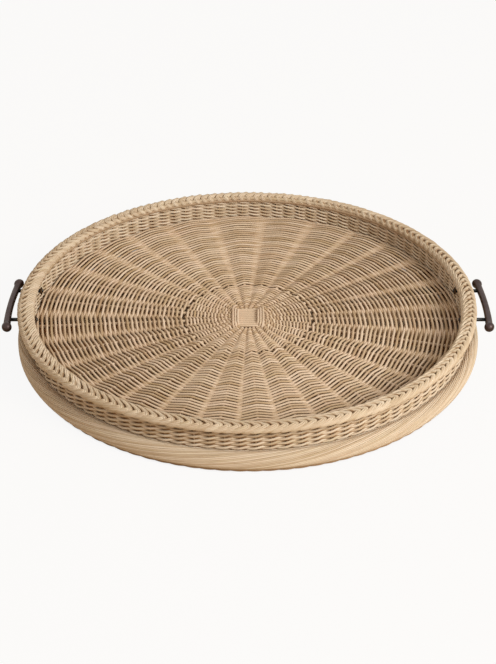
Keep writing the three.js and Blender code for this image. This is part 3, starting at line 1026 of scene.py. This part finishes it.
def metal_group():
    """Colour, roughness and height of hand-finished metal."""
    name = "Worn metal"
    if name in bpy.data.node_groups:
        return bpy.data.node_groups[name]
    group, start, end = new_group(name, [
        ("Body", "NodeSocketColor", (0.1, 0.1, 0.1, 1)), ("Metal roughness", "NodeSocketFloat", 0.4)])
    place = group.nodes.new("ShaderNodeTexCoord").outputs["Object"]
    clouds = clouded(group, place, (60, 60, 60), 3.0)
    grit = clouded(group, place, (900, 900, 900))
    worn = ranged(group, clouds, 0.3, 0.7, 0.0, 0.5)
    body = mixed(group, worn, start.outputs["Body"], (0.62, 0.58, 0.56), "MULTIPLY")
    body = mixed(group, ranged(group, grit, 0.55, 0.8, 0.0, 0.12), body, (0.35, 0.28, 0.22), "ADD")
    group.links.new(body, end.inputs["Color"])
    rough = arithmetic(
        group, "ADD", start.outputs["Metal roughness"], ranged(group, clouds, 0.3, 0.7, -0.08, 0.12))
    group.links.new(rough, end.inputs["Roughness"])
    group.links.new(grit, end.inputs["Height"])
    return group


def grained_material(name, group, values, strength, distance):
    """A material and its shader, with colour, roughness and bump from one node group."""
    material = bpy.data.materials.new(name)
    material.use_nodes = True
    nodes, links = material.node_tree.nodes, material.node_tree.links
    shader = nodes["Principled BSDF"]
    finish = nodes.new("ShaderNodeGroup")
    finish.node_tree = group
    for label, value in values.items():
        finish.inputs[label].default_value = value
    bump = nodes.new("ShaderNodeBump")
    bump.inputs["Strength"].default_value = strength
    bump.inputs["Distance"].default_value = distance
    links.new(finish.outputs["Color"], shader.inputs["Base Color"])
    links.new(finish.outputs["Roughness"], shader.inputs["Roughness"])
    links.new(finish.outputs["Height"], bump.inputs["Height"])
    links.new(bump.outputs["Normal"], shader.inputs["Normal"])
    return material, shader


def cane_material(name, plaited=False):
    """Split cane, in the weave's colours or in the paler ones of plait, wall and roll."""
    if name in bpy.data.materials:
        return bpy.data.materials[name]
    colours = bpy.context.scene.tray_colours
    pale = colours.plait_pale if plaited else colours.cane_pale
    dark = colours.plait_dark if plaited else colours.cane_dark
    patches = 0.4 if name == "roll cane" else 1.0
    material, shader = grained_material(
        name, cane_group(), {"Pale": (*pale, 1), "Dark": (*dark, 1), "Patches": patches}, 0.3, 0.0003)
    shader.inputs["Specular IOR Level"].default_value = 0.05
    return material


def metal_material(name, colour, roughness):
    material, shader = grained_material(
        name, metal_group(), {"Body": (*colour, 1), "Metal roughness": roughness}, 0.15, 0.0002)
    shader.inputs["Metallic"].default_value = 0.9
    return material


# Stage

# The ground is white to the camera outside the first of these radii, more and more up to the second.
CLEAR_RADII = (0.296, 0.312)
GROUND_COLOURS = ((0.60, 0.45, 0.29), (0.64, 0.49, 0.33))
SKY_COLOUR = (1, 0.945, 0.87)
KEY_COLOUR = (0.92, 0.975, 1.0)


def ground_material():
    """Pale matt ground. The camera sees it near white, with the tray's shadow left on it."""
    material = bpy.data.materials.new("pale ground")
    material.use_nodes = True
    tree = material.node_tree
    nodes, links = tree.nodes, tree.links
    nodes.remove(nodes["Principled BSDF"])
    matt = nodes.new("ShaderNodeBsdfDiffuse")
    place = nodes.new("ShaderNodeTexCoord").outputs["Object"]
    speckle = clouded(tree, place, (8, 8, 8))
    links.new(mixed(tree, speckle, *GROUND_COLOURS), matt.inputs["Color"])
    white = nodes.new("ShaderNodeEmission")
    white.inputs["Color"].default_value = (1, 1, 1, 1)
    length = nodes.new("ShaderNodeVectorMath")
    length.operation = "LENGTH"
    links.new(place, length.inputs[0])
    clear = ranged(tree, length.outputs["Value"], *CLEAR_RADII, 0.0, 0.92)
    rays = nodes.new("ShaderNodeLightPath")
    mix = nodes.new("ShaderNodeMixShader")
    links.new(arithmetic(tree, "MULTIPLY", rays.outputs["Is Camera Ray"], clear), mix.inputs[0])
    links.new(matt.outputs[0], mix.inputs[1])
    links.new(white.outputs[0], mix.inputs[2])
    links.new(mix.outputs[0], nodes["Material Output"].inputs["Surface"])
    return material


class TRAY_OT_stage(bpy.types.Operator):
    """Set up the ground, the light and the camera"""

    bl_idname = "tray.stage"
    bl_label = "Stage"

    def execute(self, context):
        studio = context.scene.tray_studio
        shape = bmesh.new()
        bmesh.ops.create_grid(shape, x_segments=1, y_segments=1, size=30)
        ground = to_piece("ground", shape)
        ground.data.materials.append(ground_material())

        world = bpy.data.worlds.new("studio")
        context.scene.world = world
        world.use_nodes = True
        tree = world.node_tree
        background = tree.nodes["Background"]
        rays = tree.nodes.new("ShaderNodeLightPath")
        seen = arithmetic(tree, "MAXIMUM", rays.outputs["Is Camera Ray"], rays.outputs["Is Glossy Ray"])
        seen = arithmetic(tree, "MAXIMUM", seen, rays.outputs["Is Transmission Ray"])
        tree.links.new(mixed(tree, seen, SKY_COLOUR, (1, 1, 1)), background.inputs["Color"])
        tree.links.new(ranged(tree, seen, 0, 1, studio.ambient, 1.0), background.inputs["Strength"])

        lamp = bpy.data.lights.new("key", "AREA")
        lamp.shape = "DISK"
        lamp.size = studio.key_size
        lamp.energy = studio.key
        lamp.color = KEY_COLOUR
        key = add_object("key", lamp)
        level = studio.key_elevation
        source = Vector(polar(math.cos(level), studio.key_azimuth, math.sin(level)))
        key.location = source * studio.key_distance
        key.rotation_euler = source.to_track_quat("Z", "Y").to_euler()

        camera = add_object("camera", bpy.data.cameras.new("camera"))
        camera.data.lens = studio.lens
        camera.location = (0, -studio.camera_distance, studio.camera_height)
        camera.rotation_euler = (studio.camera_tilt, 0, 0)
        context.scene.camera = camera
        context.scene.view_settings.view_transform = "Standard"
        return {"FINISHED"}


class TRAY_PT_panel(bpy.types.Panel):
    """Builds the tray's pieces and lists their sizes"""

    bl_label = "Rattan Tray"
    bl_idname = "TRAY_PT_panel"
    bl_space_type = "VIEW_3D"
    bl_region_type = "UI"
    bl_category = "Tray"

    def draw(self, context):
        layout = self.layout
        for operator in OPERATORS:
            layout.operator(operator.bl_idname)
        for group, _ in SETTINGS:
            settings = getattr(context.scene, group)
            box = layout.box()
            for name in settings.bl_rna.properties.keys():
                if name not in ("rna_type", "name"):
                    box.prop(settings, name)


OPERATORS = (
    TRAY_OT_floor_sticks, TRAY_OT_floor_weave, TRAY_OT_centre_binding, TRAY_OT_wall,
    TRAY_OT_rim_plait, TRAY_OT_foot_roll, TRAY_OT_edge_row, TRAY_OT_pulls, TRAY_OT_stage,
)
SETTINGS = (("tray_weave", TrayWeaveSizes), ("tray_colours", TrayColours), ("tray_studio", TrayStudio))


def register():
    for name, settings in SETTINGS:
        bpy.utils.register_class(settings)
        setattr(bpy.types.Scene, name, PointerProperty(type=settings))
    for item in (*OPERATORS, TRAY_PT_panel):
        bpy.utils.register_class(item)


def unregister():
    for item in reversed((*OPERATORS, TRAY_PT_panel)):
        bpy.utils.unregister_class(item)
    for name, settings in reversed(SETTINGS):
        delattr(bpy.types.Scene, name)
        bpy.utils.unregister_class(settings)


def main():
    register()
    bpy.ops.tray.floor_sticks()
    bpy.ops.tray.floor_weave()
    bpy.ops.tray.centre_binding()
    bpy.ops.tray.wall()
    bpy.ops.tray.rim_plait()
    bpy.ops.tray.foot_roll()
    bpy.ops.tray.edge_row()
    bpy.ops.tray.pulls()
    bpy.ops.tray.stage()


if __name__ == "__main__":
    main()
